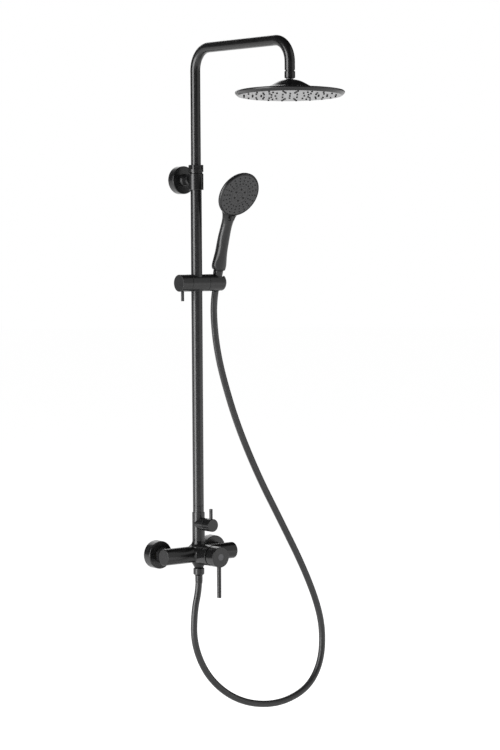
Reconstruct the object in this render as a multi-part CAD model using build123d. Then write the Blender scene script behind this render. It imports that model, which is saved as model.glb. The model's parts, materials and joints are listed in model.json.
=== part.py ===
"""Rainfall shower column: a wall mixer, a telescopic riser with an overhead arm and rain head,
a sliding handset holder and a hand shower on a smooth hose.

Frame, in millimetres: the finished wall is the plane y = 0 and the object stands out along -Y.
+X runs to the right along the wall and +Z is up. The origin lies on the wall, midway between the
two water inlets, so the mixer's own axis is the line z = 0, y = -RISER_OUT.
"""
from build123d import *
from math import cos, pi, radians, sin, sqrt, tan
import os

os.makedirs("parts", exist_ok=True)

# ---------------------------------------------------------------- driving dimensions
INLET_SPACING = 150.0     # standard distance between the two G1/2 wall inlets
RISER_OUT = 60.0          # wall to riser axis, and to the mixer's axis
FLANGE_R = 30.4           # wall flanges behind the mixer
FLANGE_DEPTH = 22.0
ARM_BODY_R = 18.0         # horizontal barrel of the mixer
ARM_BODY_HALF = 96.5
HOUSING_R = 22.5          # cartridge housing and handle
HOUSING_FRONT = 110.0     # wall to the housing's front edge
HANDLE_BACK = 113.6       # wall to the handle's back edge
HANDLE_FRONT = 139.0
HANDLE_PIN_OUT = 132.0
HANDLE_PIN_LOW = -89.4
TEE_R = 13.9              # upright part of the mixer, with the diverter branch
TEE_TOP = 91.8
DIVERTER_Z = 67.0
BRANCH_FRONT = 92.0
DIVERTER_KNOB_R = 14.0
DIVERTER_KNOB_FRONT = 112.2
OUTLET_Z = -31.0          # hose outlet's shoulder
LOWER_TUBE_R = 12.1
UPPER_TUBE_R = 10.9
TUBE_WALL = 0.95
LOWER_TUBE_LOW = 106.4
BRACKET_ROSE_Z = 819.6
SLEEVE_R = 16.2
LOCK_NUT_LOW = 836.0
LOCK_NUT_HIGH = 851.5
ARM_Z = 1102.7            # height of the overhead arm's axis
ARM_REACH = 320.0         # riser axis to head axis
ARM_BEND_R = 47.0
ARM_TIP_Z = 1038.4
UPPER_TUBE_LOW = 560.0
BALL_Z = 1024.0           # centre of the rain head's ball joint
BALL_R = 8.6
HEAD_R = 114.0
HEAD_FACE_Z = 985.1       # the flat spray face, and above it the rim's widest part and its upper edge
HEAD_RIM_Z = 992.0
HEAD_RIM_TOP = 994.5
HEAD_TIP_X = -2.0         # the head hangs slightly out of level, in degrees about X and Y
HEAD_TIP_Y = 1.6
SLIDER_Z = 595.0
SLIDER_R = 18.6
SLIDER_LEFT = -22.0       # slider body, between the lock knob and the holder
SLIDER_RIGHT = 24.5
KNOB_LEFT = -49.0
HOLDER_RIGHT = 70.0
CONE_X = 55.0             # where the handset's cone hole crosses the holder
CONE_TILT = 14.0          # the handset leans out of the wall by this many degrees
FACE_UP = 204.2           # the spray face's centre, along the cone's axis from the holder and out from it
FACE_OUT = 35.2
FACE_TILT = 13.8          # the spray face leans forward from the handle's axis
FACE_R = 51.6
HOSE_R = 7.4
FIT = 0.05                # radial play of a fixed fit
RUN = 0.08                # radial play of a running fit
GAP = 0.3                 # space between curved faces that move apart

LEFT, RIGHT = -INLET_SPACING / 2, INLET_SPACING / 2
OUT = (0, -1, 0)          # out of the wall
UP = (0, 0, 1)
ALONG = (1, 0, 0)
SPAN = 500.0              # longer than anything that a cutter passes through


# ---------------------------------------------------------------- helpers
def turned(outline, at=(0, 0, 0), toward=UP, soft=None):
    """A turned piece: an outline of (radius, height) points spun about the line `toward` from `at`.
    soft maps a point's index to the radius that rounds it."""
    face = make_face(Polyline(*outline, close=True))
    for index, radius in (soft or {}).items():
        corner = Vector(*outline[index])
        face = fillet(face.vertices().sort_by_distance(corner)[0], radius)
    solid = revolve(Rot(90, 0, 0) * face, Axis.Z)
    return Plane(origin=at, z_dir=toward) * solid


def rod(radius, start, end):
    """A plain round bar from one point to another."""
    line = Vector(*end) - Vector(*start)
    bar = Cylinder(radius, line.length, align=(Align.CENTER, Align.CENTER, Align.MIN))
    return Plane(origin=start, z_dir=line) * bar


def ring(inner, outer, start, end):
    """A round bar with a hole right through it."""
    return rod(outer, start, end) - rod(inner, start, end)


def hexagon_bar(across_flats, start, end):
    """A hexagonal bar; two of its corners lie along the frame's own axes."""
    line = Vector(*end) - Vector(*start)
    across_corners = across_flats / cos(radians(30))
    return Plane(origin=start, z_dir=line) * extrude(RegularPolygon(across_corners / 2, 6), line.length)


def on_riser(z, out=RISER_OUT, x=0.0):
    """A point at height z, by default on the riser's axis."""
    return (x, -out, z)


def pair(make):
    """The left and right one of a piece that the two inlets share."""
    return [make(LEFT), make(RIGHT)]


def save(name, solids):
    """Write one sub-part, of one solid or several, to parts/NAME.step."""
    group = solids if isinstance(solids, list) else [solids]
    bodies = [body for piece in group for body in piece.solids()]
    export_step(bodies[0] if len(bodies) == 1 else Compound(bodies), f"parts/{name}.step")


# ---------------------------------------------------------------- wall inlets
UNION_BORE = 7.0
THREAD_HALF_R = 10.48     # G1/2 male
THREAD_THREE_QUARTER_R = 13.2
UNION_END = 30.0
STUB_DEPTH = 16.0
FLANGE_SKIN = 2.0


def wall_flange(x):
    """Pressed cover that screws along the union's thread until it meets the wall."""
    hole = THREAD_THREE_QUARTER_R + FIT
    outline = [(FLANGE_R, 0), (FLANGE_R, FLANGE_DEPTH), (hole, FLANGE_DEPTH),
               (hole, FLANGE_DEPTH - 2 * FLANGE_SKIN),
               (FLANGE_R - FLANGE_SKIN, FLANGE_DEPTH - 2 * FLANGE_SKIN),
               (FLANGE_R - FLANGE_SKIN, 0)]
    return turned(outline, (x, 0, 0), OUT, {1: 2.0, 4: 1.0})


def wall_union(x):
    """Straight brass union: G1/2 into the wall, a spanner ring, then G3/4 for the inlet nut."""
    outline = [(UNION_BORE, -STUB_DEPTH), (THREAD_HALF_R, -STUB_DEPTH), (THREAD_HALF_R, 4), (15, 4), (15, 9),
               (THREAD_THREE_QUARTER_R, 9), (THREAD_THREE_QUARTER_R, UNION_END), (UNION_BORE, UNION_END)]
    return turned(outline, (x, 0, 0), OUT)


def inlet_filter(x):
    """Rubber washer with a dished strainer, squeezed between the union and the mixer."""
    washer = ring(UNION_BORE, 12.6, (x, -UNION_END, 0), (x, -UNION_END - 2, 0))
    strainer = rod(UNION_BORE, (x, -UNION_END - 1, 0), (x, -UNION_END - 2, 0))
    return washer + strainer


def inlet_nut(x):
    """Hexagonal union nut: its lip pulls the mixer's collar onto the washer."""
    nut = hexagon_bar(30.0, (x, -24, 0), (x, -41, 0))
    nut &= turned([(0, 24), (15.6, 24), (17.2, 25.5), (17.2, 39.5), (15.6, 41), (0, 41)], (x, 0, 0), OUT)
    nut -= rod(THREAD_THREE_QUARTER_R + FIT, (x, -23, 0), (x, -35.2, 0))
    return nut - rod(9.5, (x, -35, 0), (x, -42, 0))


def check_valve(x):
    """Non-return valve pushed into the mixer's inlet nipple, with its ring of small windows."""
    outline = [(3.5, 33), (UNION_BORE - FIT, 33), (UNION_BORE - FIT, 47), (2.0, 50), (0, 50), (0, 40),
               (3.5, 40)]
    return turned(outline, (x, 0, 0), OUT)


save("wall_flanges", pair(wall_flange))
save("wall_unions", pair(wall_union))
save("inlet_filters", pair(inlet_filter))
save("inlet_nuts", pair(inlet_nut))
save("check_valves", pair(check_valve))


# ---------------------------------------------------------------- mixer body
CHAMBER_R = 17.6
CHAMBER_BACK = 68.0
NIPPLE_R = 9.3
BRANCH_BORE = 9.0
TEE_BORE = 9.5
WATERWAY_R = 6.0
OUTLET_BORE = 5.0
OUTLET_R = 9.2
PORT_R = 3.0
BLEND_R = 5.0
HOUSING_BACK = 40.0
FOOT_R = 20.0
FOOT_LOW = 17.5
FOOT_TOP = 31.0
OUTLET_TOP_R = 17.0


def flared_foot():
    """Flare at the tee's foot: its side is a hollow arc that runs up into the tee."""
    sag = (FOOT_R - TEE_R) * 0.22
    middle = ((FOOT_R + TEE_R) / 2 - sag, (FOOT_LOW + FOOT_TOP) / 2 - sag)
    side = ThreePointArc((FOOT_R, FOOT_LOW), middle, (TEE_R, FOOT_TOP))
    outline = side + Polyline((TEE_R, FOOT_TOP), (0, FOOT_TOP), (0, 8), (FOOT_R, 8), (FOOT_R, FOOT_LOW))
    flare = revolve(Rot(90, 0, 0) * make_face(outline), Axis.Z)
    return flare.moved(Location(on_riser(0)))


def mixer_casting():
    """Outside of the casting: barrel, cartridge housing, upright tee with its flared foot, diverter
    branch, hose outlet and the two inlet nipples with their collars."""
    barrel = turned([(0, -ARM_BODY_HALF), (ARM_BODY_R, -ARM_BODY_HALF), (ARM_BODY_R, ARM_BODY_HALF),
                     (0, ARM_BODY_HALF)], on_riser(0), ALONG, {1: 1.5, 2: 3.0})
    housing = turned([(0, HOUSING_BACK), (HOUSING_R, HOUSING_BACK), (HOUSING_R, HOUSING_FRONT),
                      (0, HOUSING_FRONT)],
                     (0, 0, 0), OUT, {1: 6.0, 2: 0.8})
    body = barrel + housing
    crossing = [edge for edge in body.edges() if edge.geom_type not in (GeomType.LINE, GeomType.CIRCLE)]
    body = fillet(crossing, BLEND_R)
    foot = flared_foot()
    outlet = turned([(0, 8), (OUTLET_TOP_R, 8), (OUTLET_TOP_R, 17), (OUTLET_R, -OUTLET_Z), (OUTLET_R, 44),
                     (0, 44)],
                    on_riser(0), (0, 0, -1))
    tee = rod(TEE_R, on_riser(5), on_riser(TEE_TOP))
    branch = rod(TEE_R, on_riser(DIVERTER_Z, RISER_OUT + 2), on_riser(DIVERTER_Z, BRANCH_FRONT))
    body = body + foot + outlet + tee + branch
    for x in (LEFT, RIGHT):
        body += rod(NIPPLE_R, (x, -34, 0), on_riser(0, RISER_OUT - 5, x))
        body += rod(12.6, (x, -UNION_END - 2, 0), (x, -UNION_END - 5, 0))
    return body


def mixer_body():
    """The casting with its cartridge chamber and waterways cored out."""
    cores = [rod(CHAMBER_R, on_riser(0, CHAMBER_BACK), on_riser(0, HOUSING_FRONT + 1)),
             rod(WATERWAY_R, on_riser(0), on_riser(TEE_TOP + 1)),
             rod(TEE_BORE, on_riser(TEE_TOP - 14), on_riser(TEE_TOP + 1)),
             rod(BRANCH_BORE, on_riser(DIVERTER_Z, RISER_OUT - 3), on_riser(DIVERTER_Z, BRANCH_FRONT + 1)),
             rod(OUTLET_BORE, on_riser(1), on_riser(-50)),
             rod(PORT_R, on_riser(0, RISER_OUT - 1), on_riser(0, CHAMBER_BACK + 1))]
    for side, x in ((-1, LEFT), (1, RIGHT)):
        cores.append(rod(UNION_BORE, (x, -31, 0), on_riser(0, RISER_OUT + 2, x)))
        cores.append(rod(UNION_BORE - 1, on_riser(0, x=x), on_riser(0, x=side * 9)))
        cores.append(rod(PORT_R, on_riser(0, x=side * 13), on_riser(0, CHAMBER_BACK + 1, side * 13)))
    body = mixer_casting()
    for core in cores:
        body -= core
    return body


save("mixer_body", mixer_body())


# ---------------------------------------------------------------- cartridge and handle
CARRIER_R = 8.0 - RUN
NECK_BORE = 8.0
SPINDLE_WIDE = 4.8
SPINDLE_TALL = 5.0
CAP_INNER_R = 19.3
HANDLE_PIN_R = 4.7
GRUB_SCREW_R = 2.5


def cartridge():
    """Ceramic disc cartridge: a sealed drum with a neck that the stem turns in."""
    outline = [(0, CHAMBER_BACK + 0.5), (CHAMBER_R - 0.2, CHAMBER_BACK + 0.5), (CHAMBER_R - 0.2, 97.5),
               (13.8, 97.5), (13.8, 105),
               (NECK_BORE, 105), (NECK_BORE, 87), (0, 87)]
    return turned(outline, (0, 0, 0), OUT)


def cartridge_nut():
    """Slim ring nut that clamps the cartridge's shoulder."""
    body = ring(14.0, CHAMBER_R - FIT, on_riser(0, 98), on_riser(0, 107.5))
    for turn in (0, 90, 180, 270):
        notch = Box(3, 4, 4).moved(Location(on_riser(0, 106.5)) * Rot(0, turn, 0) * Pos(17.6, 0, 0))
        body -= notch
    return body


def cartridge_cover():
    """Black cover ring that shows in the gap behind the handle."""
    outline = [(14.0, 107.7), (CHAMBER_R - FIT, 107.7), (CHAMBER_R - FIT, HOUSING_FRONT),
               (19.4, HOUSING_FRONT),
               (19.4, 111.6), (18.6, 112.3), (14.0, 112.6)]
    return turned(outline, (0, 0, 0), OUT)


def stem():
    """Turning carrier in the cartridge's neck, slotted so that the spindle can tilt."""
    carrier = rod(CARRIER_R, on_riser(0, 96), on_riser(0, 105))
    slot = Box(5.4, 12, 11.2).moved(Location((0, -100.5, 1.6)))
    return carrier - slot


def spindle():
    """Flat bar that carries the handle and rocks on the cartridge's pivot."""
    length = 130.0 - 93.0
    return Box(SPINDLE_WIDE, length, SPINDLE_TALL).moved(Location((0, -93.0 - length / 2, 0)))


def handle_cap():
    """Hollow round handle, drilled for its spindle, its pin lever and a grub screw."""
    outline = [(0, 124), (CAP_INNER_R, 124), (CAP_INNER_R, HANDLE_BACK), (HOUSING_R, HANDLE_BACK),
               (HOUSING_R, HANDLE_FRONT), (7.35, HANDLE_FRONT), (7.35, HANDLE_FRONT - 1),
               (0, HANDLE_FRONT - 1)]
    cap = turned(outline, (0, 0, 0), OUT, {1: 1.5, 3: 0.6, 4: 1.2})
    cap -= Box(SPINDLE_WIDE + 2 * FIT, 14, SPINDLE_TALL + 2 * FIT).moved(Location((0, -123.2, 0)))
    cap -= rod(HANDLE_PIN_R + FIT, (0, -HANDLE_PIN_OUT, -12), (0, -HANDLE_PIN_OUT, -SPAN))
    return cap - rod(GRUB_SCREW_R + FIT, (0, -127, 0), (SPAN, -127, 0))


def pin(radius, start, end, edge):
    """A round pin with both ends eased."""
    bar = rod(radius, start, end)
    return chamfer(bar.edges().filter_by(GeomType.CIRCLE), edge)


save("mixer_cartridge", cartridge())
save("cartridge_nut", cartridge_nut())
save("cartridge_cover", cartridge_cover())
save("cartridge_stem", stem())
save("cartridge_spindle", spindle())
save("mixer_handle", handle_cap())
save("handle_pin", pin(HANDLE_PIN_R, (0, -HANDLE_PIN_OUT, -12.2), (0, -HANDLE_PIN_OUT, HANDLE_PIN_LOW), 0.6))
save("handle_grub_screw", rod(GRUB_SCREW_R, (SPINDLE_WIDE / 2 + FIT, -127, 0), (11.0, -127, 0)))
save("handle_index_disc", rod(7.3, (0, 0.95 - HANDLE_FRONT, 0), (0, -HANDLE_FRONT, 0)))


# ---------------------------------------------------------------- diverter
DIVERTER_SPINDLE_R = 4.0
DIVERTER_PIN_OUT = 104.7
DIVERTER_PIN_R = 3.75
DIVERTER_PIN_TOP = 102.5


def diverter_cartridge():
    """Quarter-turn valve that sends the water to the head or to the hose."""
    outline = [(0, 58), (BRANCH_BORE - FIT, 58), (BRANCH_BORE - FIT, 88), (DIVERTER_SPINDLE_R + RUN, 88),
               (DIVERTER_SPINDLE_R + RUN, 76), (0, 76)]
    return turned(outline, (0, 0, DIVERTER_Z), OUT)


def diverter_knob():
    """Small round knob with a shallow skirt behind it."""
    back = BRANCH_FRONT + 0.8
    outline = [(0, 97), (11, 97), (11, back), (DIVERTER_KNOB_R, back), (DIVERTER_KNOB_R, DIVERTER_KNOB_FRONT),
               (0, DIVERTER_KNOB_FRONT)]
    knob = turned(outline, (0, 0, DIVERTER_Z), OUT, {3: 0.5, 4: 1.0})
    knob -= rod(DIVERTER_SPINDLE_R + FIT, on_riser(DIVERTER_Z, 96), on_riser(DIVERTER_Z, 100.2))
    return knob - rod(DIVERTER_PIN_R + FIT, on_riser(DIVERTER_Z + 6, DIVERTER_PIN_OUT),
                      on_riser(SPAN, DIVERTER_PIN_OUT))


save("diverter_cartridge", diverter_cartridge())
save("diverter_nut", ring(DIVERTER_SPINDLE_R + GAP, BRANCH_BORE - FIT, on_riser(DIVERTER_Z, 88.2),
                          on_riser(DIVERTER_Z, 91.8)))
save("diverter_spindle", rod(DIVERTER_SPINDLE_R, on_riser(DIVERTER_Z, 76.5), on_riser(DIVERTER_Z, 100)))
save("diverter_knob", diverter_knob())
save("diverter_pin", pin(DIVERTER_PIN_R, on_riser(DIVERTER_Z + 6.2, DIVERTER_PIN_OUT),
                         on_riser(DIVERTER_PIN_TOP, DIVERTER_PIN_OUT), 0.5))


# ---------------------------------------------------------------- riser
LOWER_TUBE_BORE = LOWER_TUBE_R - TUBE_WALL
LOWER_TUBE_TOP = 838.0
UPPER_TUBE_BORE = UPPER_TUBE_R - 1.2
BUSH_LOW = 548.0


def riser_connector():
    """Threaded sleeve between the mixer's tee and the lower tube, with a seal groove below."""
    outline = [(6.0, TEE_TOP - 13.5), (TEE_BORE - FIT, TEE_TOP - 13.5), (TEE_BORE - FIT, TEE_TOP),
               (LOWER_TUBE_R, TEE_TOP),
               (LOWER_TUBE_R, LOWER_TUBE_LOW - 0.4), (LOWER_TUBE_R - 0.5, LOWER_TUBE_LOW),
               (LOWER_TUBE_BORE - FIT, LOWER_TUBE_LOW), (LOWER_TUBE_BORE - FIT, LOWER_TUBE_LOW + 14),
               (6.0, LOWER_TUBE_LOW + 14)]
    return turned(outline, on_riser(0))


def lower_tube():
    """Fixed outer tube of the telescopic riser."""
    outline = [(LOWER_TUBE_BORE, LOWER_TUBE_LOW), (LOWER_TUBE_R - 0.5, LOWER_TUBE_LOW),
               (LOWER_TUBE_R, LOWER_TUBE_LOW + 0.4), (LOWER_TUBE_R, LOWER_TUBE_TOP),
               (LOWER_TUBE_BORE, LOWER_TUBE_TOP)]
    return turned(outline, on_riser(0))


def upper_tube():
    """Inner riser tube, bent out into the overhead arm and down again to the rain head."""
    corners = [on_riser(UPPER_TUBE_LOW + GAP), on_riser(ARM_Z), on_riser(ARM_Z, RISER_OUT + ARM_REACH),
               on_riser(ARM_TIP_Z, RISER_OUT + ARM_REACH)]
    path = FilletPolyline(*corners, radius=ARM_BEND_R)
    section = Plane(origin=corners[0], z_dir=UP) * (Circle(UPPER_TUBE_R) - Circle(UPPER_TUBE_BORE))
    return sweep(section, path=path)


def guide_bush():
    """Plastic bush on the inner tube's foot; it slides in the outer tube and the arm turns in it."""
    spigot = UPPER_TUBE_BORE - RUN
    outline = [(7.5, BUSH_LOW), (LOWER_TUBE_BORE - RUN, BUSH_LOW), (LOWER_TUBE_BORE - RUN, 552), (9.4, 552),
               (9.4, 555),
               (LOWER_TUBE_BORE - RUN, 555), (LOWER_TUBE_BORE - RUN, UPPER_TUBE_LOW),
               (spigot, UPPER_TUBE_LOW),
               (spigot, UPPER_TUBE_LOW + 12), (7.5, UPPER_TUBE_LOW + 12)]
    return turned(outline, on_riser(0))


save("riser_connector", riser_connector())
save("lower_riser_tube", lower_tube())
save("upper_riser_tube", upper_tube())
save("riser_guide_bush", guide_bush())
save("riser_seal", ring(9.4 + FIT, LOWER_TUBE_BORE - 0.03, on_riser(552 + FIT), on_riser(555 - FIT)))


# ---------------------------------------------------------------- wall bracket and riser lock
ROSE_R = 30.5
ROSE_DEPTH = 18.0
SLEEVE_LOW = 797.2
SLEEVE_HIGH = 832.0
BOSS_R = 14.3
BOSS_HIGH = 840.0
SLIDE_BORE = UPPER_TUBE_R + GAP
BOLT_R = 4.0
PLATE_SCREW_X = 13.0
PLATE_SCREW_R = 2.5


def bracket_rose():
    """Round cover over the bracket's fixing plate."""
    outline = [(ROSE_R, 0), (ROSE_R, ROSE_DEPTH), (8.0, ROSE_DEPTH), (8.0, ROSE_DEPTH - 2.5),
               (ROSE_R - 2, ROSE_DEPTH - 2.5),
               (ROSE_R - 2, 0)]
    return turned(outline, (0, 0, BRACKET_ROSE_Z), OUT, {1: 2.0, 4: 1.0})


def wall_plate():
    """Steel fixing plate with two screw holes and a threaded boss for the bracket's bolt."""
    plate = turned([(BOLT_R + FIT, 0.5), (21, 0.5), (21, 4), (7.5, 4), (7.5, 14), (BOLT_R + FIT, 14)],
                   (0, 0, BRACKET_ROSE_Z), OUT)
    for side in (-1, 1):
        hole = (side * PLATE_SCREW_X, 0, BRACKET_ROSE_Z)
        plate -= rod(PLATE_SCREW_R + 0.1, hole, (hole[0], -10, hole[2]))
    return plate


def plate_screw(side):
    """Pan-head screw through the fixing plate into the wall; its plain neck is slimmer than its thread."""
    neck = PLATE_SCREW_R - 0.1
    outline = [(0, -24), (PLATE_SCREW_R, -20), (PLATE_SCREW_R, 0), (neck, 0), (neck, 4.1), (4.6, 4.1),
               (4.6, 5.5),
               (3.0, 7), (0, 7)]
    return turned(outline, (side * PLATE_SCREW_X, 0, BRACKET_ROSE_Z), OUT)


def bracket_spacer():
    """Turned distance piece with a waist, between the rose and the sleeve."""
    far = RISER_OUT - SLEEVE_R + 1.4
    outline = [(BOLT_R + FIT, ROSE_DEPTH), (13.4, ROSE_DEPTH), (13.4, 21), (11.2, 24), (10.6, 29),
               (11.2, 34), (12.9, 37),
               (12.9, far), (BOLT_R + FIT, far)]
    return turned(outline, (0, 0, BRACKET_ROSE_Z), OUT) - rod(SLEEVE_R + FIT, on_riser(780), on_riser(860))


def bracket_sleeve():
    """Sleeve round the lower tube's top, with the threaded boss for the lock nut above it."""
    outline = [(LOWER_TUBE_R + FIT, SLEEVE_LOW), (SLEEVE_R, SLEEVE_LOW), (SLEEVE_R, SLEEVE_HIGH),
               (BOSS_R, SLEEVE_HIGH + 1.2),
               (BOSS_R, BOSS_HIGH), (LOWER_TUBE_R + FIT, BOSS_HIGH)]
    sleeve = turned(outline, on_riser(0), UP, {1: 0.8, 2: 0.8})
    return sleeve - rod(BOLT_R + FIT, (0, 0, BRACKET_ROSE_Z), on_riser(BRACKET_ROSE_Z, 48.0))


def lock_nut():
    """Nut that squeezes the clamp ring: a round skirt below and six wrench flats above."""
    blank = turned([(SLIDE_BORE, LOCK_NUT_LOW), (SLEEVE_R, LOCK_NUT_LOW), (SLEEVE_R, LOCK_NUT_HIGH),
                    (SLIDE_BORE, LOCK_NUT_HIGH)],
                   on_riser(0), UP, {1: 0.7, 2: 0.7})
    flats = Rot(0, 0, 30) * extrude(RegularPolygon(14.6, 6, major_radius=False), LOCK_NUT_HIGH - 841.5 + 1)
    upper = blank & flats.moved(Location(on_riser(841.5)))
    lower = blank & rod(SLEEVE_R + 1, on_riser(LOCK_NUT_LOW - 1), on_riser(841.5))
    nut = lower + upper
    nut -= rod(BOSS_R + FIT, on_riser(LOCK_NUT_LOW - 1), on_riser(BOSS_HIGH + 0.2))
    return nut - rod(13.4, on_riser(BOSS_HIGH), on_riser(848.5))


def clamp_ring():
    """Split plastic ring that the nut presses onto the inner tube."""
    band = ring(SLIDE_BORE, 13.3, on_riser(BOSS_HIGH + 0.2), on_riser(848.3))
    return band - Box(2.0, 20, 20).moved(Location(on_riser(844, RISER_OUT - 12)))


save("bracket_rose", bracket_rose())
save("bracket_wall_plate", wall_plate())
save("bracket_screws", [plate_screw(-1), plate_screw(1)])
save("bracket_bolt", rod(BOLT_R, (0, -2, BRACKET_ROSE_Z), (0, -47.8, BRACKET_ROSE_Z)))
save("bracket_spacer", bracket_spacer())
save("bracket_sleeve", bracket_sleeve())
save("riser_lock_nut", lock_nut())
save("riser_clamp_ring", clamp_ring())


# ---------------------------------------------------------------- ball joint at the arm's end
HEAD_OUT = RISER_OUT + ARM_REACH
SOCKET_R = BALL_R + RUN
NUT_BORE = 9.2
NUT_LOW = 1021.3
NUT_HIGH = 1036.3


def sphere_radius_at(radius, height):
    """Radius of the circle that a level cut makes in a sphere, at a height from its centre."""
    return sqrt(radius ** 2 - height ** 2)


def head_nut():
    """Collar nut on the arm's end; its lower lip is a spherical seat that holds the ball."""
    lip = sphere_radius_at(SOCKET_R, BALL_Z - NUT_LOW)
    blank = turned([(0, NUT_LOW), (9.9, NUT_LOW), (11.25, NUT_LOW + 1.6), (11.25, NUT_HIGH - 1.0),
                    (10.4, NUT_HIGH), (0, NUT_HIGH)],
                   on_riser(0, HEAD_OUT))
    blank -= rod(NUT_BORE, on_riser(BALL_Z, HEAD_OUT), on_riser(SPAN * 3, HEAD_OUT))
    blank -= Sphere(SOCKET_R).moved(Location(on_riser(BALL_Z, HEAD_OUT)))
    return blank - rod(lip, on_riser(NUT_LOW - 1, HEAD_OUT), on_riser(BALL_Z, HEAD_OUT))


def arm_fitting():
    """Threaded end piece brazed into the arm, with a groove above the collar nut."""
    spigot = UPPER_TUBE_BORE - FIT
    outline = [(5.0, 1034), (NUT_BORE - 0.1, 1034), (NUT_BORE - 0.1, ARM_TIP_Z), (spigot, ARM_TIP_Z),
               (spigot, ARM_TIP_Z + 14),
               (5.0, ARM_TIP_Z + 14)]
    return turned(outline, on_riser(0, HEAD_OUT))


def seat_ring():
    """Spherical seal ring between the ball and the nut's bore; it carries the first tilt."""
    outer = Sphere(NUT_BORE - 0.06) - Sphere(SOCKET_R)
    band = Cylinder(20, 3.1, align=(Align.CENTER, Align.CENTER, Align.MIN)).moved(Location((0, 0, 2.4)))
    return (outer & band).moved(Location(on_riser(BALL_Z, HEAD_OUT)))


save("arm_end_fitting", arm_fitting())
save("head_collar_nut", head_nut())
save("head_washer", ring(5.0, NUT_BORE - 0.1, on_riser(1032.8, HEAD_OUT), on_riser(1034, HEAD_OUT)))
save("ball_seat_ring", seat_ring())


# ---------------------------------------------------------------- rain head
SHELL_SKIN = 1.5
PLATE_R = 107.0
PLATE_SKIN = 1.5
STEM_R = 6.0
STEM_BORE = 4.0
STEM_LOW = 1008.0
DOME_TOP = 1018.4
SPOKES = 20
SPOKE_RADII = (60.0, 78.0, 96.0)
INNER_RINGS = ((44.0, 6, 0.5), (30.0, 6, 0.0))
SPOKE_TURN = -38.9        # the first spoke stands half a step from this direction
NOZZLE_R = 1.9
NOZZLE_PROUD = 1.6
# Radius and height of points on the shell's upper side: a rounded dome on a nearly flat disc.
DOME = [(9, DOME_TOP), (15, DOME_TOP - 0.7), (24, 1015.0), (33, 1010.8), (42, 1005.4), (52, 1001.8),
        (112, HEAD_RIM_TOP)]


def hung(solid):
    """Tip a piece of the level rain head about its ball, as the head hangs at rest."""
    ball = Location(on_riser(BALL_Z, HEAD_OUT))
    return solid.moved(ball * Rot(HEAD_TIP_X, HEAD_TIP_Y, 0) * Location((0, 0, -BALL_Z)))


def head_nozzle_places():
    """Centres of the rain head's nozzles: one in the middle, two small rings and the long spokes."""
    rings = [(radius, count, shift) for radius, count, shift in INNER_RINGS]
    rings += [(radius, SPOKES, 0.5) for radius in SPOKE_RADII]
    places = [(0.0, 0.0)]
    for radius, count, shift in rings:
        for step in range(count):
            turn = radians(SPOKE_TURN + 360 * (step + shift) / count)
            places.append((radius * cos(turn), radius * sin(turn)))
    return places


def upright(radius, places, low, high):
    """Equal upright bars through a list of places."""
    return [rod(radius, (x, y, low), (x, y, high)) for x, y in places]


def head_shell():
    """Spun shell: a low dome over a flat disc, its rim turned in under the spray face's edge."""
    rim = [(HEAD_R, HEAD_RIM_Z), (112.5, 989.0), (PLATE_R + 0.9, HEAD_FACE_Z), (PLATE_R + FIT, HEAD_FACE_Z),
           (PLATE_R + FIT, HEAD_FACE_Z + 3.6), (110, HEAD_RIM_TOP - 2.2)]
    under = [(radius - 0.6, height - SHELL_SKIN) for radius, height in reversed(DOME[2:-1])]
    hub = [(13.5, DOME_TOP - 4), (STEM_R + FIT, DOME_TOP - 4), (STEM_R + FIT, DOME_TOP)]
    return turned(DOME + rim + under + hub)


def nozzle_mat():
    """Silicone mat behind the spray face, its soft nozzles standing through the holes."""
    back = HEAD_FACE_Z + PLATE_SKIN + 0.1
    mat = rod(101.0, (0, 0, back), (0, 0, back + 1.2))
    return mat + upright(NOZZLE_R, head_nozzle_places(), HEAD_FACE_Z - NOZZLE_PROUD, back + 0.6)


def face_plate():
    """Flat spray face with one hole for each nozzle."""
    plate = rod(PLATE_R, (0, 0, HEAD_FACE_Z), (0, 0, HEAD_FACE_Z + PLATE_SKIN))
    return plate - upright(NOZZLE_R + 0.1, head_nozzle_places(), HEAD_FACE_Z - 1,
                           HEAD_FACE_Z + PLATE_SKIN + 1)


def ball_stud():
    """Ball, cut flat above the dome, with its hollow stem and the nut plate that holds it there."""
    ball = Sphere(BALL_R).moved(Location((0, 0, BALL_Z)))
    ball -= rod(BALL_R, (0, 0, BALL_Z - BALL_R), (0, 0, DOME_TOP + 0.2))
    stem_bar = rod(STEM_R, (0, 0, STEM_LOW), (0, 0, BALL_Z - 3))
    plate = rod(11.5, (0, 0, STEM_LOW), (0, 0, DOME_TOP - 4.2))
    return ball + stem_bar + plate - rod(STEM_BORE, (0, 0, STEM_LOW - 8), (0, 0, BALL_Z + 2 * BALL_R))


save("head_ball_stud", hung(ball_stud()))
save("head_shell", hung(head_shell()))
save("head_gasket", hung(ring(101.3, PLATE_R - 0.5, (0, 0, HEAD_FACE_Z + PLATE_SKIN + 0.1),
                              (0, 0, HEAD_FACE_Z + 3.5))))
save("head_nozzle_mat", hung(nozzle_mat()))
save("head_face_plate", hung(face_plate()))


# ---------------------------------------------------------------- slider and lock
BUSH_R = 13.5
SPINDLE_R = 4.9
HOLDER_LEFT = SLIDER_RIGHT + 0.4
PIVOT_R = 5.0
LOCK_PIN_R = 3.4
LOCK_PIN_X = -39.2
LOCK_PIN_LOW = 555.8


def slider_point(x, out=RISER_OUT, z=SLIDER_Z):
    """A point on the slider's long axis, which lies along the wall."""
    return (x, -out, z)


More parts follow.
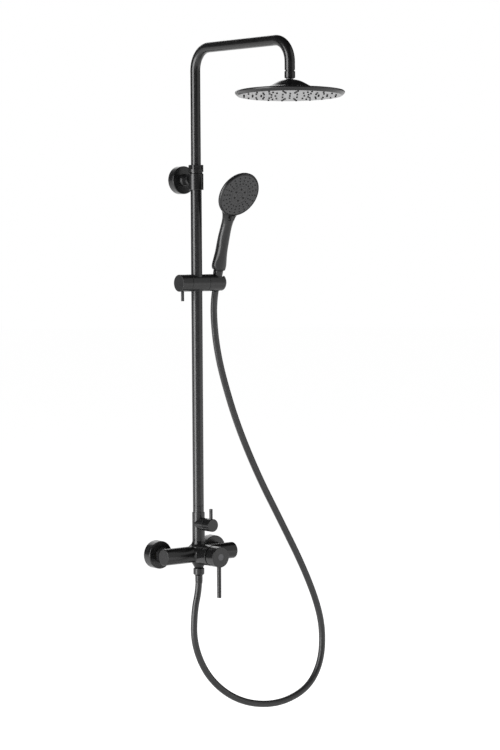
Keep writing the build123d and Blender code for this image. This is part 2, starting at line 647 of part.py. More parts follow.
def slider_body():
    """Middle of the slider: it holds the riser bush, the brake shoe and the holder's pivot."""
    body = rod(SLIDER_R, slider_point(SLIDER_LEFT), slider_point(SLIDER_RIGHT))
    body = chamfer(body.edges().filter_by(GeomType.CIRCLE), 0.4)
    body -= rod(BUSH_R + FIT, on_riser(500), on_riser(700))
    body -= rod(SPINDLE_R + RUN, slider_point(SLIDER_LEFT - 1), slider_point(-10))
    return body - rod(PIVOT_R + FIT, slider_point(10), slider_point(SLIDER_RIGHT + 1))


def slider_bush():
    """Plastic liner that runs on the riser, with a window for the brake shoe."""
    half = SLIDER_R - 1.5
    liner = ring(LOWER_TUBE_R + FIT, BUSH_R, on_riser(SLIDER_Z - half), on_riser(SLIDER_Z + half))
    return liner - rod(SPINDLE_R + RUN, slider_point(-20), slider_point(-5))


def brake_shoe():
    """Shoe that the lock knob presses against the riser."""
    return rod(SPINDLE_R, slider_point(-19), slider_point(-LOWER_TUBE_R - GAP)) - rod(
        LOWER_TUBE_R + GAP, on_riser(500), on_riser(700))


def lock_knob():
    """Round end knob that screws the brake shoe in."""
    knob = turned([(0, 0), (SLIDER_R, 0), (SLIDER_R, SLIDER_LEFT - 0.5 - KNOB_LEFT),
                   (0, SLIDER_LEFT - 0.5 - KNOB_LEFT)],
                  slider_point(KNOB_LEFT), ALONG, {1: 1.2, 2: 0.4})
    knob -= rod(SPINDLE_R + FIT, slider_point(-36), slider_point(-10))
    return knob - rod(LOCK_PIN_R + FIT, slider_point(LOCK_PIN_X, z=SLIDER_Z - 10),
                      slider_point(LOCK_PIN_X, z=SLIDER_Z - 60))


save("slider_body", slider_body())
save("slider_bush", slider_bush())
save("holder_pivot", rod(PIVOT_R, slider_point(14.5), slider_point(36)))
save("brake_shoe", brake_shoe())
save("lock_spindle", rod(SPINDLE_R, slider_point(-35.8), slider_point(-19.3)))
save("lock_knob", lock_knob())
save("lock_pin", pin(LOCK_PIN_R, slider_point(LOCK_PIN_X, z=SLIDER_Z - 10.2),
                     slider_point(LOCK_PIN_X, z=LOCK_PIN_LOW), 0.4))


# ---------------------------------------------------------------- handset holder and cone nut
CONE = Plane(origin=slider_point(CONE_X), x_dir=ALONG,
             z_dir=(0, -sin(radians(CONE_TILT)), cos(radians(CONE_TILT))))
INSERT_R = 12.4
NUT_BOTTOM = -16.0
NUT_TOP = 28.5
SLOT_WIDE = 15.2


def cone_radius(along):
    """Outer radius of the conical hose nut at a place along the cone's axis."""
    return 9.2 + 1.6 * (along - NUT_BOTTOM) / (24.0 - NUT_BOTTOM)


def slot():
    """Cutter for the side slot that lets the hose into the holder from its free end."""
    return Box(40, SLOT_WIDE, 90, align=(Align.MIN, Align.CENTER, Align.CENTER))


def holder():
    """Free end of the slider, bored on a tilt for the cone and slotted to its end face."""
    block = turned([(0, 0), (SLIDER_R, 0), (SLIDER_R, HOLDER_RIGHT - HOLDER_LEFT),
                    (0, HOLDER_RIGHT - HOLDER_LEFT)],
                   slider_point(HOLDER_LEFT), ALONG, {1: 0.4, 2: 4.0})
    block -= rod(PIVOT_R + RUN, slider_point(HOLDER_LEFT - 1), slider_point(36.5))
    block -= CONE * Cylinder(INSERT_R + FIT, 90)
    return block - CONE * slot()


def holder_insert():
    """Plastic liner with a conical seat, open on the slot's side."""
    low, high = -15.5, 15.5
    seat = turned([(cone_radius(low) + FIT, low), (INSERT_R, low), (INSERT_R, high),
                   (cone_radius(high) + FIT, high)])
    return CONE * (seat - slot())


def cone_nut():
    """Conical hose nut that the handset stands on; its stub turns freely inside it."""
    outline = [(5.5, NUT_BOTTOM), (8.6, NUT_BOTTOM), (cone_radius(NUT_BOTTOM + 1), NUT_BOTTOM + 1),
               (cone_radius(24), 24), (cone_radius(24), 27.7),
               (10.2, NUT_TOP), (8.5, NUT_TOP), (8.5, 7.5), (5.5, 7.5)]
    return CONE * turned(outline)


save("handset_holder", holder())
save("holder_insert", holder_insert())
save("hose_cone_nut", cone_nut())


# ---------------------------------------------------------------- hand shower
FACE = CONE * Plane(origin=(0, -FACE_OUT, FACE_UP), x_dir=ALONG,
                    z_dir=(0, -cos(radians(FACE_TILT)), -sin(radians(FACE_TILT)))).location
HANDSET_SPOKES = 20
HANDSET_RINGS = (27.0, 34.5, 42.0)
FINE_NOZZLE_R = 1.4
COARSE_RING = 13.4
COARSE_NOZZLES = 6
COARSE_NOZZLE_R = 2.0
SPRAY_PLATE_R = 47.7
BEZEL_BORE = 48.4
FACE_GROOVES = (6.8, 20.8)
TAB_END = 61.0
# Handle sections: place along the axis, forward offset, half width, half depth.
HANDLE_SECTIONS = [(30.0, 0.0, 14.4, 14.4), (64.0, 0.2, 13.8, 13.8), (92.0, 1.3, 13.1, 13.0),
                   (120.0, 3.6, 12.6, 12.2),
                   (140.0, 7.0, 13.6, 11.2), (154.0, 10.4, 18.5, 9.4), (168.0, 14.0, 26.5, 8.0)]


def handle_grip():
    """The handle as a smooth loft through its oval sections."""
    ovals = [Pos(0, -forward, along) * Ellipse(wide, deep) for along, forward, wide, deep in HANDLE_SECTIONS]
    return CONE * loft(ovals)


def handset_shell():
    """Moulded body: the handle flows into a shallow round head, hollow for the water."""
    head = turned([(0, -24.5), (14, -23.4), (30, -19.6), (42, -14.2), (48.2, -10.2), (50.8, -7.2),
                   (FACE_R, -4.4), (0, -4.4)])
    body = handle_grip() + FACE * head
    body -= FACE * turned([(0, -20), (30, -16), (43, -10), (46, -7.4), (46, -3), (0, -3)])
    body -= FACE * ring(46.5, TAB_END + 2, (0, 0, -4.2), (0, 0, 9))
    body -= CONE * rod(9.0, (0, 0, 44), (0, -5.4, 150))
    body -= CONE * rod(6.0, (0, 0, 0), (0, 0, 60))
    stub = ring(6.0, 8.5 - RUN, (0, 0, 8), (0, 0, 34))
    return body + CONE * stub


def ring_of(radius, count):
    """Places evenly spaced round a circle on the spray face, the first one at the top."""
    turns = [radians(90 + 360 * step / count) for step in range(count)]
    return [(radius * cos(turn), radius * sin(turn)) for turn in turns]


FINE_PLACES = [place for radius in HANDSET_RINGS for place in ring_of(radius, HANDSET_SPOKES)]
COARSE_PLACES = ring_of(COARSE_RING, COARSE_NOZZLES)


def handset_face():
    """Flat spray plate with a bevelled edge, two shallow ring grooves and a hole for each nozzle."""
    plate = turned([(0, -1.8), (SPRAY_PLATE_R, -1.8), (SPRAY_PLATE_R, -0.5), (SPRAY_PLATE_R - 0.9, 0),
                    (0, 0)])
    for radius in FACE_GROOVES:
        plate -= ring(radius, radius + 0.6, (0, 0, -0.4), (0, 0, 1))
    plate -= upright(FINE_NOZZLE_R + 0.1, FINE_PLACES, -3, 1)
    return FACE * (plate - upright(COARSE_NOZZLE_R + 0.1, COARSE_PLACES, -3, 1))


def handset_mat():
    """Silicone mat with the handset's soft nozzles."""
    mat = rod(45.5, (0, 0, -2.9), (0, 0, -1.9))
    mat += upright(FINE_NOZZLE_R, FINE_PLACES, -2.4, 0.7)
    return FACE * (mat + upright(COARSE_NOZZLE_R, COARSE_PLACES, -2.4, 0.7))


def selector():
    """Bezel round the spray plate, which turns with its thumb tab at the foot of the face."""
    band = turned([(BEZEL_BORE, -3.9), (FACE_R - 0.1, -3.9), (FACE_R - 0.5, -2.3), (50.2, -0.8), (49.2, 0.2),
                   (BEZEL_BORE, 0.3)])
    tab = Box(9.6, TAB_END - 49.6, 6.2, align=(Align.CENTER, Align.MAX,
                                               Align.MIN)).moved(Location((0, -49.6, -3.8)))
    outer = tab.edges().filter_by(Axis.Z).group_by(Axis.Y)[0]
    return FACE * (band + fillet(outer, 3.0))


save("handset_shell", handset_shell())
save("spray_core", FACE * turned([(0, -14), (28, -12), (40, -8.6), (45.6, -6.4), (45.6, -2.95), (0, -2.95)]))
save("handset_nozzle_mat", handset_mat())
save("handset_face", handset_face())
save("spray_selector", selector())


# ---------------------------------------------------------------- hose
HOSE_START = -48.0
# The hose's hand-chosen route, from the mixer's outlet, down round its low loop and up to the cone nut.
HOSE_ROUTE = [(0, -60, HOSE_START), (0, -60, -77), (-13.5, -60, -126), (-16.5, -61, -197), (15, -64, -269),
              (72, -68, -322), (143, -70, -352),
              (225, -72, -359), (302, -73, -334), (341, -73, -280), (348, -72, -209), (334, -70, -144),
              (296, -66, -57),
              (238, -60, 48), (174, -54, 160), (120, -47, 278), (84, -43, 385), (67.5, -43, 450),
              (59, -44.8, 506), (55, -49.2, 551.8)]


def hose_route():
    """The whole route, ended square on to the cone nut's lower face."""
    end = CONE * Location((0, 0, NUT_BOTTOM - GAP))
    return [Vector(*point) for point in HOSE_ROUTE] + [end.position]


def bend_radii(route):
    """One radius for each corner: 0.45 of the shorter run over the tangent of half the turn."""
    radii = []
    for before, corner, after in zip(route, route[1:], route[2:]):
        run_in, run_out = corner - before, after - corner
        half_turn = radians(run_in.get_angle(run_out) / 2)
        radii.append(0.45 * min(run_in.length, run_out.length) / tan(half_turn))
    return radii


def hose():
    """Smooth outer tube of the hose: straight runs joined by tangent arcs."""
    route = hose_route()
    radii = bend_radii(route)
    runs = [(b - a).length for a, b in zip(route, route[1:])]
    path = FilletPolyline(*route, radius=radii)
    tube = sweep(Plane(origin=route[0], z_dir=route[1] - route[0]) * Circle(HOSE_R), path=path)
    print("hose runs", [round(run) for run in runs])
    print("hose bend radii", [round(radius) for radius in radii])
    print("hose path length", round(path.length, 1), "volume ratio",
          round(tube.volume / (pi * HOSE_R ** 2 * path.length), 4))
    return tube


def hose_nut():
    """Round-shouldered hexagonal nut that holds the hose's lower end to the outlet."""
    shape = turned([(9.3, OUTLET_Z - 0.3), (11.0, OUTLET_Z - 0.3), (12.2, OUTLET_Z - 1.4), (12.2, -44.2),
                    (9.2, -47.0), (8.3, -47.0), (8.3, -46),
                    (9.3, -46)], on_riser(0))
    return shape


save("hose_hex_nut", hose_nut())
save("hose_ferrule", turned([(HOSE_R, -65.0), (7.7, -65.0), (8.1, -60), (8.25, -52), (8.25, HOSE_START),
                             (HOSE_R, HOSE_START)], on_riser(0)))
save("hose", hose())
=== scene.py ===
"""Rainfall shower column in satin black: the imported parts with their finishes, the rain head's spun
shell, the two threaded unions, the hose, and a plain studio round them.
Lengths are in metres: the wall is the plane y = 0, the column stands out along -Y, and +Z is up."""
import json
from math import cos, pi, radians, sin

import bpy
import numpy as np
from mathutils import Matrix, Vector


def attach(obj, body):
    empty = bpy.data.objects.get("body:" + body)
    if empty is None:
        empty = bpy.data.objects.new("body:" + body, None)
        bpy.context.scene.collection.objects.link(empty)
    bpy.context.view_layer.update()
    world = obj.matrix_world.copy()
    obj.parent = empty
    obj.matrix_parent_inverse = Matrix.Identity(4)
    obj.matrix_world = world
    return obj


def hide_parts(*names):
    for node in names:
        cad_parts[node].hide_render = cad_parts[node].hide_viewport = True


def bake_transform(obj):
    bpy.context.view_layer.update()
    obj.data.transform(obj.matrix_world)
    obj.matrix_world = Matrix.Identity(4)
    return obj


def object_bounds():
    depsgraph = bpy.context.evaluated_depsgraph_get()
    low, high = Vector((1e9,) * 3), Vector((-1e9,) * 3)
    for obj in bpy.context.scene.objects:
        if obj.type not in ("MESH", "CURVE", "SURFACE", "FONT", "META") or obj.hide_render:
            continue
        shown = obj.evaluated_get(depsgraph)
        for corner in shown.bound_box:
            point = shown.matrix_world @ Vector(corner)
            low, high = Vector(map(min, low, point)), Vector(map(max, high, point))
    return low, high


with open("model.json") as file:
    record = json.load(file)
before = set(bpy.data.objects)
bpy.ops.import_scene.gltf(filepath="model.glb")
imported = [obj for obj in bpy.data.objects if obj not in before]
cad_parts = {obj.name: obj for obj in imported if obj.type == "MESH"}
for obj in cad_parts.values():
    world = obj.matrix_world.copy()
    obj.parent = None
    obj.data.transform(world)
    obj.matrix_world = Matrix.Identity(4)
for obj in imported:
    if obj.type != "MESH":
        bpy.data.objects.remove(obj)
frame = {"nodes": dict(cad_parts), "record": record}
nodes = frame["nodes"]
cad_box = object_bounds()
scene = bpy.context.scene


# ------------------------------------------------------------------ the viewpoint
# A long lens, level with the column's middle and off to its left, so that the arm and the head
# come forward to the right.
EYE = Vector((-3.1399, -4.1345, 0.6962))
VIEW_TURN, VIEW_RISE, VIEW_ROLL = radians(-38.9), radians(3.376), radians(-0.346)
LENS_MM = 113.0

back = Vector((sin(VIEW_TURN) * cos(VIEW_RISE), -cos(VIEW_TURN) * cos(VIEW_RISE), sin(VIEW_RISE)))
level = Vector((cos(VIEW_TURN), sin(VIEW_TURN), 0))
upward = back.cross(level)
across = level * cos(VIEW_ROLL) + upward * sin(VIEW_ROLL)
above = upward * cos(VIEW_ROLL) - level * sin(VIEW_ROLL)
camera_data = bpy.data.cameras.new("camera")
camera_data.lens, camera_data.sensor_width = LENS_MM, 36.0
camera_data.clip_start, camera_data.clip_end = 0.05, 60.0
camera = bpy.data.objects.new("camera", camera_data)
scene.collection.objects.link(camera)
camera.matrix_world = Matrix.Translation(EYE) @ Matrix((across, above, back)).transposed().to_4x4()
scene.camera = camera


# ------------------------------------------------------------------ powder-coated metal
# Brass castings, steel tubes and turned fittings, all sprayed with one satin black powder coat and
# baked. The coat levels out to a faint orange peel, is a touch thinner and brighter on handled
# edges, and holds a little dust on what faces up.
class Wire:
    """A shader socket with Python's operators: each one adds the Math node that works it out."""

    def __init__(self, shader, socket):
        self.shader, self.socket = shader, socket

    def maths(self, operation, other):
        term = other if isinstance(other, Wire) else float(other)
        return self.shader.node("ShaderNodeMath", {"operation": operation}, {0: self, 1: term})

    def __add__(self, other):
        return self.maths("ADD", other)

    def __radd__(self, other):
        return self.maths("ADD", other)

    def __sub__(self, other):
        return self.maths("SUBTRACT", other)

    def __mul__(self, other):
        return self.maths("MULTIPLY", other)

    def clipped(self, low, high):
        """0 below `low`, 1 above `high` and a smooth ramp between them."""
        settings = {"interpolation_type": "SMOOTHSTEP"}
        inputs = {0: self, 1: low, 2: high, 3: 0.0, 4: 1.0}
        return self.shader.node("ShaderNodeMapRange", settings, inputs)


class Finish:
    """One material and the single method that adds a node to it."""

    def __init__(self, name):
        self.material = bpy.data.materials.new(name)
        self.material.use_nodes = True
        self.tree = self.material.node_tree
        self.surface = self.tree.nodes["Principled BSDF"]
        self.object_place = self.node("ShaderNodeTexCoord", {}, {}, "Object")

    def node(self, kind, settings, inputs, output=0):
        made = self.tree.nodes.new(kind)
        for key, value in settings.items():
            setattr(made, key, value)
        for key, value in inputs.items():
            self.feed(made.inputs[key], value)
        return Wire(self, made.outputs[output])

    def feed(self, socket, value):
        if isinstance(value, Wire):
            self.tree.links.new(value.socket, socket)
        elif isinstance(value, (tuple, list)) and len(value) == 3 and socket.type == "RGBA":
            socket.default_value = (*value, 1)
        else:
            socket.default_value = value

    def noise(self, scale, detail=2.0, roughness=0.5, place=None):
        settings = {"noise_dimensions": "3D"}
        inputs = {"Vector": place or self.object_place, "Scale": scale, "Detail": detail,
                  "Roughness": roughness}
        return self.node("ShaderNodeTexNoise", settings, inputs)

    def stretched(self, scale):
        return self.node("ShaderNodeMapping", {}, {"Vector": self.object_place, "Scale": scale})

    def mixed(self, share, one, other):
        """A colour between two, by a share from 0 to 1."""
        return self.node("ShaderNodeMix", {"data_type": "RGBA"}, {0: share, 6: one, 7: other}, 2)

    def bump(self, height, strength, distance):
        return self.node("ShaderNodeBump", {}, {"Height": height, "Strength": strength, "Distance": distance})

    def upward(self):
        """How far a surface faces the ceiling, from -1 to 1."""
        normal = self.node("ShaderNodeNewGeometry", {}, {}, "Normal")
        return self.node("ShaderNodeSeparateXYZ", {}, {0: normal}, "Z")

    def edge(self):
        """1 along convex edges, where a finish wears first, and 0 on flat ground."""
        pointiness = self.node("ShaderNodeNewGeometry", {}, {}, "Pointiness")
        return pointiness.clipped(0.515, 0.60)

    def shows(self, **sockets):
        for name, value in sockets.items():
            self.feed(self.surface.inputs[name.replace("_", " ")], value)
        return self.material


def coated(name, colour, thin, roughness, peel):
    """Powder coat: two slow noises vary its colour and gloss, a fast one is the orange peel."""
    coat = Finish(name)
    cloud = coat.noise(38, 4, 0.6)
    speck = coat.noise(1500, 2, 0.6)
    peel_height = coat.noise(620, 2, 0.45)
    dust = coat.upward().clipped(0.55, 1.0) * coat.noise(230, 4, 0.7).clipped(0.45, 0.75)
    worn = coat.edge() * coat.noise(420, 3, 0.6).clipped(0.42, 0.6)
    tone = coat.mixed(cloud.clipped(0.3, 0.7), colour, [part * 1.25 for part in colour])
    tone = coat.mixed(speck.clipped(0.60, 0.72) * 0.35, tone, thin)
    tone = coat.mixed(worn * 0.5, tone, thin)
    tone = coat.mixed(dust * 0.10, tone, (0.22, 0.215, 0.205))
    gloss = roughness + (cloud - 0.5) * 0.10 + dust * 0.12 - worn * 0.05
    normal = coat.bump(peel_height, 0.2, peel)
    return coat.shows(Base_Color=tone, Roughness=gloss, Normal=normal, Specular_IOR_Level=0.41)


satin_black = coated("satin_black_metal", (0.0055, 0.0055, 0.0057), (0.030, 0.030, 0.031), 0.25, 0.00003)


# ------------------------------------------------------------------ the rest of the finishes
# Moulded plastics are spark-eroded to a fine grain, silicone is dull, the seals are plain black
# rubber, and the hidden fittings are bare brass, bare steel and off-white acetal.
def moulded(name, colour, roughness, grain, size):
    """Moulded plastic: a cellular spark grain in the bump, and slow clouds in its gloss."""
    plastic = Finish(name)
    cells = plastic.node("ShaderNodeTexVoronoi", {"feature": "F1"},
                         {"Vector": plastic.object_place, "Scale": size}, "Distance")
    cloud = plastic.noise(45, 4, 0.6)
    fine = plastic.noise(2400, 2, 0.6)
    worn = plastic.edge() * plastic.noise(380, 3, 0.6).clipped(0.42, 0.62)
    dust = plastic.upward().clipped(0.5, 1.0) * plastic.noise(210, 4, 0.7).clipped(0.45, 0.75)
    tone = plastic.mixed(cloud.clipped(0.3, 0.7), colour, [part * 1.22 for part in colour])
    tone = plastic.mixed(worn * 0.35, tone, [part * 2.4 for part in colour])
    tone = plastic.mixed(dust * 0.10, tone, (0.22, 0.215, 0.205))
    gloss = roughness + (cloud - 0.5) * 0.10 + (fine - 0.5) * 0.06 + dust * 0.10
    normal = plastic.bump(cells + fine * 0.5, 0.30, grain)
    return plastic.shows(Base_Color=tone, Roughness=gloss, Normal=normal, Specular_IOR_Level=0.40)


def turned_metal(name, colour, dark, roughness, rings):
    """Bare turned metal: fine tool rings across the piece's length and a thin cloudy tarnish."""
    metal = Finish(name)
    lines = metal.noise(rings, 3, 0.7, metal.stretched((0.05, 1.0, 1.0)))
    tarnish = metal.noise(90, 5, 0.65).clipped(0.42, 0.72)
    tone = metal.mixed(tarnish * 0.55, colour, dark)
    gloss = roughness + tarnish * 0.18 + (lines - 0.5) * 0.08
    return metal.shows(Base_Color=tone, Roughness=gloss, Metallic=1.0,
                       Normal=metal.bump(lines, 0.25, 0.00004))


def rubbery(name, colour, roughness):
    """Silicone or rubber: dull, faintly mottled, with a bloom of dust."""
    rubber = Finish(name)
    cloud = rubber.noise(160, 4, 0.6)
    pits = rubber.noise(1900, 2, 0.6)
    tone = rubber.mixed(cloud.clipped(0.4, 0.75) * 0.5, colour, [part * 1.8 for part in colour])
    gloss = roughness + (cloud - 0.5) * 0.12
    return rubber.shows(Base_Color=tone, Roughness=gloss, Specular_IOR_Level=0.2,
                        Normal=rubber.bump(pits, 0.3, 0.00005))


face_black = coated("gloss_black_face", (0.019, 0.019, 0.020), (0.045, 0.045, 0.047), 0.22, 0.00004)
body_plastic = moulded("black_plastic", (0.008, 0.008, 0.0083), 0.31, 0.00002, 1700)
spray_plastic = moulded("handset_face_plastic", (0.023, 0.023, 0.024), 0.42, 0.00003, 1400)
acetal = moulded("inner_plastic", (0.62, 0.62, 0.60), 0.46, 0.00005, 1500)
silicone = rubbery("black_silicone", (0.006, 0.006, 0.006), 0.62)
seal_rubber = rubbery("seal_rubber", (0.018, 0.018, 0.018), 0.70)
bare_brass = turned_metal("brass", (0.72, 0.55, 0.27), (0.34, 0.23, 0.10), 0.28, 900)
bare_steel = turned_metal("steel", (0.58, 0.58, 0.59), (0.36, 0.35, 0.34), 0.30, 900)
index_metal = turned_metal("index_metal", (0.085, 0.085, 0.088), (0.05, 0.05, 0.05), 0.34, 1400)

FINISHES = {
    "satin_black_metal": satin_black, "gloss_black_face": face_black, "black_plastic": body_plastic,
    "handset_face_plastic": spray_plastic, "inner_plastic": acetal, "black_silicone": silicone,
    "seal_rubber": seal_rubber, "brass": bare_brass, "steel": bare_steel, "index_metal": index_metal,
}
for part in frame["record"]["subparts"]:
    if part["material_slot"] in FINISHES:
        slots = nodes[part["node"]].data.materials
        slots.clear()
        slots.append(FINISHES[part["material_slot"]])


# ------------------------------------------------------------------ the rain head's shell
# One steel disc, spun over a former into a low dome on a flat brim, with its rim rolled under the
# spray face. The former leaves no corners, so the whole upper side is one flowing curve.
def mesh_piece(name, points, faces, material):
    """A new mesh object from an array of points and a list of faces, shaded smooth."""
    mesh = bpy.data.meshes.new(name)
    mesh.from_pydata([tuple(point) for point in points], [], faces)
    mesh.validate()
    piece = bpy.data.objects.new(name, mesh)
    scene.collection.objects.link(piece)
    mesh.materials.append(material)
    mesh.polygons.foreach_set("use_smooth", [True] * len(mesh.polygons))
    return piece


def grid_faces(rows, columns):
    """Quads over a grid of rows by columns, joined round along its columns."""
    row, column = np.meshgrid(np.arange(rows - 1), np.arange(columns), indexing="ij")
    after = (column + 1) % columns
    quads = np.stack([row * columns + column, row * columns + after,
                      (row + 1) * columns + after, (row + 1) * columns + column], -1)
    return quads.reshape(-1, 4).tolist()


def smooth_outline(points, steps):
    """Points along a Catmull-Rom curve through an outline's points, that many steps a span."""
    points = np.asarray(points, float)
    padded = np.vstack([2 * points[0] - points[1], points, 2 * points[-1] - points[-2]])
    before, start, end, after = (padded[index:index + len(points) - 1, None, :] for index in range(4))
    share = np.linspace(0, 1, steps, endpoint=False)[None, :, None]
    squared = (2 * before - 5 * start + 4 * end - after) * share ** 2
    cubed = (3 * start - before - 3 * end + after) * share ** 3
    curve = 0.5 * (2 * start + (end - before) * share + squared + cubed)
    return np.vstack([curve.reshape(-1, 2), points[-1:]])


def lathed(outline, around):
    """Points of a closed outline of (radius, height) turned about +Z: rows follow the outline and
    columns go round."""
    turn = np.linspace(0, 2 * pi, around, endpoint=False)
    radius, height = outline[:, :1], np.repeat(outline[:, 1:], around, axis=1)
    return np.stack([radius * np.cos(turn), radius * np.sin(turn), height], -1)


def turned_about(points, axis_point, tip_x, tip_y):
    """Points tipped about the lines through axis_point along X and along Y."""
    turn = np.array((Matrix.Rotation(tip_x, 3, "X") @ Matrix.Rotation(tip_y, 3, "Y")))
    return (points - axis_point) @ turn.T + axis_point


def lathed_piece(name, outline, around, place, material):
    """A mesh from a closed outline, turned and then put in place by a function of its points. The
    outline runs with the metal on its right, so that the faces point outwards."""
    points = place(lathed(np.vstack([outline, outline[:1]]), around).reshape(-1, 3))
    rows = len(outline)
    faces = [[corner % (rows * around) for corner in face] for face in grid_faces(rows + 1, around)]
    return mesh_piece(name, points[:rows * around], faces, material)


BALL = np.array([0.0, -0.380, 1.024])
HEAD_TIP = radians(-2.0), radians(1.6)
# The shell's outline as (radius, height), in millimetres.
TOP_MM = [(6.05, 1018.4), (9.0, 1018.4), (15.0, 1017.6), (24.0, 1014.9), (33.0, 1010.4), (42.0, 1005.4),
          (52.0, 1001.6), (70.0, 999.4), (92.0, 996.7), (110.0, 994.7)]
RIM_MM = [(112.4, 994.35), (113.6, 993.3), (114.0, 992.0), (113.6, 990.5), (112.5, 989.0),
          (110.4, 987.1), (108.3, 985.35), (107.9, 985.1)]
UNDER_MM = [(107.06, 985.15), (107.06, 988.7), (110.0, 992.3), (92.0, 995.0), (70.0, 997.7),
            (52.0, 999.9), (42.0, 1003.6), (33.0, 1008.7), (24.0, 1013.2), (13.5, 1014.4), (6.05, 1014.4)]


def hang(points):
    """Level rain head to hanging rain head: onto the ball's line, then tipped about the ball."""
    return turned_about(points + np.array([BALL[0], BALL[1], 0]), BALL, *HEAD_TIP)


shell_outline = np.vstack([smooth_outline(TOP_MM, 8), smooth_outline(RIM_MM, 4), np.array(UNDER_MM)]) / 1000
head_shell = lathed_piece("rain_head_shell", shell_outline[::-1], 160, hang, satin_black)
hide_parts("head_shell")
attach(head_shell, "head")


# ------------------------------------------------------------------ threads in the wall
# Two brass unions join the mixer to the pipe ends in the wall. Each is turned from bar, with a
# thread cut at either end, and a thread is one ridge wound round the bar at its pitch.
def threaded(points, bands):
    """Cut threads into a lathed piece's points: along each band (low, high, pitch, depth, least) the
    radius drops by depth times a triangle wave of height over pitch minus the turn, eased at the
    ends, wherever it is over `least`, so that the bore stays smooth."""
    radius, turn = np.hypot(points[:, 0], points[:, 1]), np.arctan2(points[:, 1], points[:, 0])
    height = points[:, 2]
    cut = np.zeros(len(points))
    for low, high, pitch, depth, least in bands:
        wave = np.abs(((height / pitch - turn / (2 * pi)) % 1.0) * 2 - 1)
        ease = np.clip((height - low) / pitch, 0, 1) * np.clip((high - height) / pitch, 0, 1)
        cut += depth * wave * ease * (radius > least)
    scale = (radius - cut) / np.maximum(radius, 1e-9)
    return np.c_[points[:, 0] * scale, points[:, 1] * scale, height]


def stepped(low, high, radius, step):
    """Outline points up a straight bar, close enough together to carry a thread."""
    heights = np.arange(low, high, step)
    return np.c_[np.full(len(heights), radius), heights]


def into_wall(x, z):
    """Place for a piece turned about +Z: its height then runs out of the wall, along -Y."""
    return lambda points: np.c_[points[:, 0] + x, -points[:, 2], points[:, 1] + z]


INLET_X = 0.075
PIPE_PITCH, PIPE_DEPTH = 0.001814, 0.00116
THREAD_STEP = 0.00015
union_outline = np.vstack([[(0.007, -0.016), (0.0098, -0.016)], stepped(-0.0154, 0.004, 0.01048, THREAD_STEP),
                           [(0.0150, 0.0040), (0.0150, 0.0090)], stepped(0.0090, 0.030, 0.0132, THREAD_STEP),
                           [(0.007, 0.030)]])
unions = []
for x in (-INLET_X, INLET_X):
    place = into_wall(x, 0.0)
    cut = [(-0.017, 0.0025, PIPE_PITCH, PIPE_DEPTH, 0.0095), (0.0115, 0.031, PIPE_PITCH, PIPE_DEPTH, 0.0125)]
    union = lathed_piece("union_left" if x < 0 else "union_right", union_outline, 48,
                         lambda points: place(threaded(points, cut)), bare_brass)
    unions.append(union)
    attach(union, "root")
for union in unions:
    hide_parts("wall_unions")


# ------------------------------------------------------------------ the hose
# A smooth black plastic tube of 14.8 mm over a braided lining, 1.53 m long. It hangs from the mixer's
# outlet nut, swings round to the right in one low loop and climbs to the conical nut.
HOSE_RADIUS = 0.0074
HOSE_POINTS_MM = [(0, -60, -48), (0, -60, -77), (-13.5, -60, -126), (-16.5, -61, -197), (15, -64, -269),
                  (72, -68, -322), (143, -70, -352), (225, -72, -359), (302, -73, -334), (341, -73, -280),
                  (348, -72, -209), (334, -70, -144), (296, -66, -57), (238, -60, 48), (174, -54, 160),
                  (120, -47, 278), (84, -43, 385), (67.5, -43, 450), (59, -44.8, 506), (55, -49.2, 551.8),
                  (55, -56.06, 579.18)]


def spline_line(points, steps):
    """Points along the smooth line whose control points are given."""
    curve = bpy.data.curves.new("route", "CURVE")
    curve.dimensions, curve.resolution_u = "3D", steps
    spline = curve.splines.new("NURBS")
    spline.points.add(len(points) - 1)
    spline.points.foreach_set("co", np.c_[points, np.ones(len(points))].ravel())
    spline.order_u, spline.use_endpoint_u = 3, True
    holder = bpy.data.objects.new("route", curve)
    scene.collection.objects.link(holder)
    bpy.context.view_layer.update()
    mesh = bpy.data.meshes.new_from_object(holder)
    line = np.array([vertex.co for vertex in mesh.vertices])
    bpy.data.objects.remove(holder)
    bpy.data.meshes.remove(mesh)
    bpy.data.curves.remove(curve)
    return line


def across_line(line):
    """Two unit side vectors, across the line, at each of its points. They start from one fixed
    vector and are carried along without twisting."""
    ahead = np.gradient(line, axis=0)
    ahead /= np.linalg.norm(ahead, axis=1, keepdims=True)
    side = np.array([0.0, 1.0, 0.0])
    sides = []
    for direction in ahead:
        side = side - direction * side.dot(direction)
        side = side / np.linalg.norm(side)
        sides.append(side)
    sides = np.array(sides)
    return sides, np.cross(ahead, sides)


def piped(name, line, radii, around, material):
    """A tube: at each point of the line stands a circle of that point's radius, across the line, and
    a fan of triangles closes each end."""
    side, other = across_line(line)
    turn = np.linspace(0, 2 * pi, around, endpoint=False)
    rings = (line[:, None, :] + radii[:, None, None] * (np.cos(turn)[None, :, None] * side[:, None, :]
                                                      + np.sin(turn)[None, :, None] * other[:, None, :]))
    count = len(line)
    points = np.vstack([rings.reshape(-1, 3), line[:1], line[-1:]])
    faces = grid_faces(count, around)
    faces += [[count * around, (step + 1) % around, step] for step in range(around)]
    last = (count - 1) * around
    faces += [[count * around + 1, last + step, last + (step + 1) % around] for step in range(around)]
    return mesh_piece(name, points, faces, material)


hose_line = spline_line(np.array(HOSE_POINTS_MM) / 1000, 14)

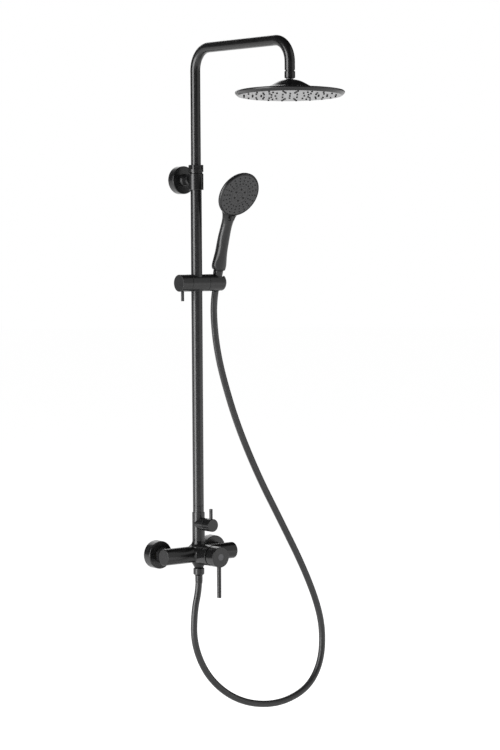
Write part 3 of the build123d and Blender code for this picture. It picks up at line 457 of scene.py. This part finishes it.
rubber_tube = Finish("black_hose")
hose_cloud = rubber_tube.noise(30, 4, 0.6)
hose_fine = rubber_tube.noise(1300, 3, 0.6)
hose_draw = rubber_tube.noise(500, 2, 0.5, rubber_tube.stretched((1.0, 1.0, 0.06)))
hose_tone = rubber_tube.mixed(hose_cloud.clipped(0.3, 0.7), (0.012, 0.012, 0.0125),
                              (0.019, 0.019, 0.0195))
hose_gloss = 0.36 + (hose_cloud - 0.5) * 0.12 + (hose_draw - 0.5) * 0.05
black_hose = rubber_tube.shows(Base_Color=hose_tone, Roughness=hose_gloss, Specular_IOR_Level=0.5,
                               Normal=rubber_tube.bump(hose_draw + hose_fine * 0.4, 0.25, 0.00008))

hose = piped("shower_hose", hose_line, np.full(len(hose_line), HOSE_RADIUS), 28, black_hose)
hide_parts("hose")
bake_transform(hose)


# ------------------------------------------------------------------ the studio
# A pale floor well below the column, one tall soft light out to the left, a broad weaker one to the
# right of the camera, one behind and a faint even surround, as for a catalogue picture. The floor
# glows as painted light, and its glow is dimmer towards the middle, a painted soft shadow under the column.
FLOOR_Z = cad_box[0][2] - 0.30
FLOOR_RADIUS = 30.0

paper = Finish("pale_paper")
grain = paper.noise(3.0, 3, 0.5)
from_middle = paper.node("ShaderNodeVectorMath", {"operation": "LENGTH"}, {0: paper.object_place}, "Value")
# Painted light and shade: the floor's emission is painted light, pale grey near the middle under the column
# as a painted soft shadow, near white farther out.
floor_glow_painted_shade = paper.mixed(from_middle.clipped(0.5, 1.9), (0.42, 0.42, 0.42), (0.98, 0.98, 0.98))
pale_paper = paper.shows(Base_Color=paper.mixed(grain, (0.70, 0.70, 0.70), (0.74, 0.74, 0.74)), Roughness=0.9,
                         Specular_IOR_Level=0.1, Emission_Color=floor_glow_painted_shade, Emission_Strength=1.0)
turns = np.linspace(0, 2 * pi, 96, endpoint=False)
rims = np.array([0.02, 2.0, 8.0, FLOOR_RADIUS])
floor_points = np.stack([rims[:, None] * np.cos(turns), rims[:, None] * np.sin(turns),
                         np.full((len(rims), len(turns)), FLOOR_Z)], -1)
floor = mesh_piece("studio_floor", floor_points.reshape(-1, 3), grid_faces(len(rims), len(turns)), pale_paper)


def soft_light(name, place, target, size, radiance):
    """A rectangular light of that width and height; its power follows from the radiance wanted."""
    light = bpy.data.lights.new(name, "AREA")
    light.shape, light.size, light.size_y = "RECTANGLE", size[0], size[1]
    light.energy = radiance * pi * size[0] * size[1]
    lamp = bpy.data.objects.new(name, light)
    scene.collection.objects.link(lamp)
    lamp.location = place
    lamp.rotation_euler = (Vector(target) - Vector(place)).to_track_quat("-Z", "Y").to_euler()
    lamp.visible_camera = False


column_middle = (0, -0.1, 0.45)
soft_light("left_light", (-3.0, 0.05, 0.7), column_middle, (1.9, 3.4), 8.2)
soft_light("right_light", (2.15, -2.6, 1.35), column_middle, (4.2, 5.0), 0.84)
soft_light("back_light", (1.2, 3.2, 1.9), column_middle, (2.6, 2.2), 1.9)
world = bpy.data.worlds.new("surround")
world.use_nodes = True
sky, seen = world.node_tree.nodes["Background"], world.node_tree.nodes.new("ShaderNodeLightPath")
strength = world.node_tree.nodes.new("ShaderNodeMapRange")
world.node_tree.links.new(seen.outputs["Is Camera Ray"], strength.inputs["Value"])
strength.inputs["To Min"].default_value, strength.inputs["To Max"].default_value = 0.02, 1.0
world.node_tree.links.new(strength.outputs["Result"], sky.inputs["Strength"])
sky.inputs["Color"].default_value = (1, 1, 1, 1)
scene.world = world
scene.view_settings.view_transform = "Standard"
